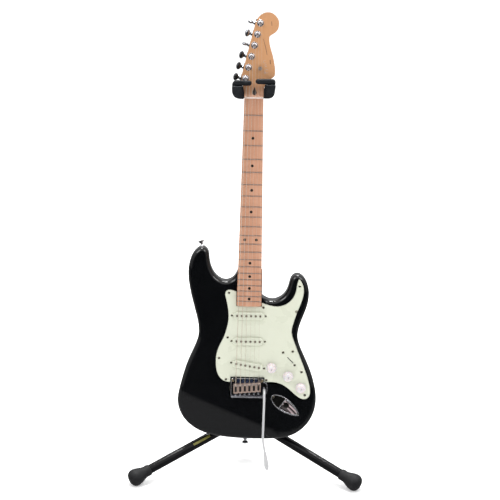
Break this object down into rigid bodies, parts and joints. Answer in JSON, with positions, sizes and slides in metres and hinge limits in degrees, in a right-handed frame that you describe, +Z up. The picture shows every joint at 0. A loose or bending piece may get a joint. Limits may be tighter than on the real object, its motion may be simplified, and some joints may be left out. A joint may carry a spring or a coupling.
{
  "type": "electric guitar on stand",
  "caption": "Solid-body electric guitar hanging by its headstock in a folding three-legged floor stand with a self-closing yoke.",
  "frame": {"origin": "floor level, under the middle of the object's bounding box", "axes": "+Z up, the guitar's front towards -Y and its bass side towards -X, with neck and mast leaning back towards +Y by nine degrees"},
  "size_m": [0.535, 0.469, 1.0559],
  "materials": {
    "stand_paint": "satin black",
    "zinc": "dull",
    "black_plastic": "moulded",
    "pad_foam": "soft foam sleeve",
    "foot_rubber": "matt",
    "yoke_foam": "rubberised",
    "body_lacquer": "gloss black lacquer over wood",
    "maple": "tinted maple",
    "nickel": "polished",
    "bone": "bone",
    "black_dot": "inlay",
    "string_steel": "wound steel",
    "chrome": "chrome",
    "rod_steel": "plain",
    "mint_plastic": "laminated sheet",
    "screw_steel": "plated",
    "coil": "wound coil on fibre",
    "knob_plastic": "moulded",
    "saddle_steel": "polished",
    "arm_steel": "polished bar, pale tip"
  },
  "bodies": {
    "stand": {"leg_hub": "stand_paint", "stand_bolts": "zinc", "main_tube": "stand_paint", "clutch_housing": "black_plastic", "backrest_bar": "stand_paint", "backrest_pads": "pad_foam"},
    "left_leg": {"leg_left": "stand_paint", "foot_left": "foot_rubber"},
    "right_leg": {"leg_right": "stand_paint", "foot_right": "foot_rubber"},
    "rear_leg": {"leg_rear": "stand_paint", "foot_rear": "foot_rubber"},
    "lever": {"clutch_lever": "black_plastic"},
    "shaft": {"upper_shaft": "stand_paint", "yoke_housing": "black_plastic"},
    "cradle": {"yoke_cradle": "yoke_foam"},
    "left_gate": {"gate_left": "yoke_foam"},
    "right_gate": {"gate_right": "yoke_foam"},
    "guitar": {"guitar_body": "body_lacquer", "neck": "maple", "frets": "nickel", "nut": "bone", "fret_markers": "black_dot", "strings": "string_steel", "tuner_housings": "chrome", "string_tree": "chrome", "truss_rod": "rod_steel", "pickguard": "mint_plastic", "guitar_screws": "screw_steel", "pickup_covers": "mint_plastic", "pickup_cores": "coil", "pots": "rod_steel", "switch_frame": "rod_steel", "jack_plate": "chrome", "jack_socket": "rod_steel", "strap_buttons": "chrome", "neck_plate": "chrome", "back_cover": "mint_plastic", "trem_anchors": "rod_steel", "trem_springs": "rod_steel"},
    "bridge": {"bridge_plate": "chrome", "saddles": "saddle_steel", "trem_block": "rod_steel"},
    "arm": {"trem_arm": "arm_steel"},
    "selector": {"switch_lever": "rod_steel"},
    "volume": {"volume_knob": "knob_plastic"},
    "tone_1": {"tone_knob_1": "knob_plastic"},
    "tone_2": {"tone_knob_2": "knob_plastic"},
    "post_1": {"tuner_post_1": "chrome"},
    "key_1": {"tuner_key_1": "chrome"},
    "post_2": {"tuner_post_2": "chrome"},
    "key_2": {"tuner_key_2": "chrome"},
    "post_3": {"tuner_post_3": "chrome"},
    "key_3": {"tuner_key_3": "chrome"},
    "post_4": {"tuner_post_4": "chrome"},
    "key_4": {"tuner_key_4": "chrome"},
    "post_5": {"tuner_post_5": "chrome"},
    "key_5": {"tuner_key_5": "chrome"},
    "post_6": {"tuner_post_6": "chrome"},
    "key_6": {"tuner_key_6": "chrome"}
  },
  "joints": [
    {"name": "left_leg_fold", "type": "hinge", "parent": "stand", "child": "left_leg", "pos_m": [-0.02153, -0.08397, 0.0996], "axis": [0.5, -0.866, 0], "range_deg": [0, 65]},
    {"name": "right_leg_fold", "type": "hinge", "parent": "stand", "child": "right_leg", "pos_m": [0.02153, -0.08397, 0.0996], "axis": [0.5, 0.866, 0], "range_deg": [0, 65]},
    {"name": "rear_leg_fold", "type": "hinge", "parent": "stand", "child": "rear_leg", "pos_m": [0, -0.04667, 0.0996], "axis": [-1, 0, 0], "range_deg": [0, 65]},
    {"name": "clutch_squeeze", "type": "hinge", "parent": "stand", "child": "lever", "pos_m": [0, 0.0001, 0.37732], "axis": [-1, 0, 0], "range_deg": [0, 7], "stiffness_Nm_per_rad": 0.5, "springref_deg": -11.46},
    {"name": "height_adjust", "type": "slide", "parent": "stand", "child": "shaft", "axis": [0, 0.1564, 0.9877], "range_m": [0, 0.18]},
    {"name": "yoke_lift", "type": "slide", "parent": "shaft", "child": "cradle", "axis": [0, 0.1564, 0.9877], "range_m": [0, 0.012], "stiffness_N_per_m": 500, "springref_m": 0.02},
    {"name": "left_gate_swing", "type": "hinge", "parent": "cradle", "child": "left_gate", "pos_m": [-0.0395, -0.06105, 0.90083], "axis": [0, -0.1564, -0.9877], "range_deg": [0, 90]},
    {"name": "right_gate_swing", "type": "hinge", "parent": "cradle", "child": "right_gate", "pos_m": [0.0395, -0.06043, 0.90478], "axis": [0, 0.1564, 0.9877], "range_deg": [0, 90]},
    {"name": "guitar_lift", "type": "slide", "parent": "cradle", "child": "guitar", "axis": [0, 0.1564, 0.9877], "range_m": [0, 0.015]},
    {"name": "key_1_turn", "type": "hinge", "parent": "guitar", "child": "key_1", "pos_m": [-0.03444, -0.01931, 0.91192], "axis": [-0.9703, 0.0378, 0.2389], "continuous": true},
    {"name": "post_1_turn", "type": "hinge", "parent": "guitar", "child": "post_1", "pos_m": [-0.0194, -0.04081, 0.91362], "axis": [0, 0.9877, -0.1564], "continuous": true},
    {"name": "key_2_turn", "type": "hinge", "parent": "guitar", "child": "key_2", "pos_m": [-0.02844, -0.01554, 0.93569], "axis": [-0.9703, 0.0378, 0.2389], "continuous": true},
    {"name": "post_2_turn", "type": "hinge", "parent": "guitar", "child": "post_2", "pos_m": [-0.0134, -0.03704, 0.93739], "axis": [0, 0.9877, -0.1564], "continuous": true},
    {"name": "key_3_turn", "type": "hinge", "parent": "guitar", "child": "key_3", "pos_m": [-0.02244, -0.01178, 0.95946], "axis": [-0.9703, 0.0378, 0.2389], "continuous": true},
    {"name": "post_3_turn", "type": "hinge", "parent": "guitar", "child": "post_3", "pos_m": [-0.0074, -0.03328, 0.96115], "axis": [0, 0.9877, -0.1564], "continuous": true},
    {"name": "key_4_turn", "type": "hinge", "parent": "guitar", "child": "key_4", "pos_m": [-0.01644, -0.00801, 0.98323], "axis": [-0.9703, 0.0378, 0.2389], "continuous": true},
    {"name": "post_4_turn", "type": "hinge", "parent": "guitar", "child": "post_4", "pos_m": [-0.0014, -0.02951, 0.98492], "axis": [0, 0.9877, -0.1564], "continuous": true},
    {"name": "key_5_turn", "type": "hinge", "parent": "guitar", "child": "key_5", "pos_m": [-0.01044, -0.00425, 1.00699], "axis": [-0.9703, 0.0378, 0.2389], "continuous": true},
    {"name": "post_5_turn", "type": "hinge", "parent": "guitar", "child": "post_5", "pos_m": [0.0046, -0.02575, 1.00869], "axis": [0, 0.9877, -0.1564], "continuous": true},
    {"name": "key_6_turn", "type": "hinge", "parent": "guitar", "child": "key_6", "pos_m": [-0.00444, -0.00048, 1.03076], "axis": [-0.9703, 0.0378, 0.2389], "continuous": true},
    {"name": "post_6_turn", "type": "hinge", "parent": "guitar", "child": "post_6", "pos_m": [0.0106, -0.02198, 1.03246], "axis": [0, 0.9877, -0.1564], "continuous": true},
    {"name": "volume_turn", "type": "hinge", "parent": "guitar", "child": "volume", "pos_m": [0.0545, -0.15111, 0.26833], "axis": [0, -0.9877, 0.1564], "range_deg": [0, 270]},
    {"name": "tone_1_turn", "type": "hinge", "parent": "guitar", "child": "tone_1", "pos_m": [0.0933, -0.15408, 0.24957], "axis": [0, -0.9877, 0.1564], "range_deg": [0, 270]},
    {"name": "tone_2_turn", "type": "hinge", "parent": "guitar", "child": "tone_2", "pos_m": [0.123, -0.15831, 0.2229], "axis": [0, -0.9877, 0.1564], "range_deg": [0, 270]},
    {"name": "selector_swing", "type": "hinge", "parent": "guitar", "child": "selector", "pos_m": [0.0975, -0.11945, 0.28281], "axis": [-0.6941, -0.1126, -0.711], "range_deg": [0, 26]},
    {"name": "tremolo", "type": "hinge", "parent": "guitar", "child": "bridge", "pos_m": [0, -0.15193, 0.24234], "axis": [-1, 0, 0], "range_deg": [-3, 10], "stiffness_Nm_per_rad": 10, "deforming": ["strings", "trem_springs"]},
    {"name": "arm_swing", "type": "hinge", "parent": "bridge", "child": "arm", "pos_m": [0.0395, -0.15605, 0.21798], "axis": [0, 0.9877, -0.1564], "range_deg": [-75, 100]}
  ],
  "couplings": [
    {"joint": "left_gate_swing", "follows": "yoke_lift", "rad_per_m": 130},
    {"joint": "right_gate_swing", "follows": "yoke_lift", "rad_per_m": 130},
    {"joint": "post_1_turn", "follows": "key_1_turn", "ratio": 0.071429},
    {"joint": "post_2_turn", "follows": "key_2_turn", "ratio": 0.071429},
    {"joint": "post_3_turn", "follows": "key_3_turn", "ratio": 0.071429},
    {"joint": "post_4_turn", "follows": "key_4_turn", "ratio": 0.071429},
    {"joint": "post_5_turn", "follows": "key_5_turn", "ratio": 0.071429},
    {"joint": "post_6_turn", "follows": "key_6_turn", "ratio": 0.071429}
  ]
}
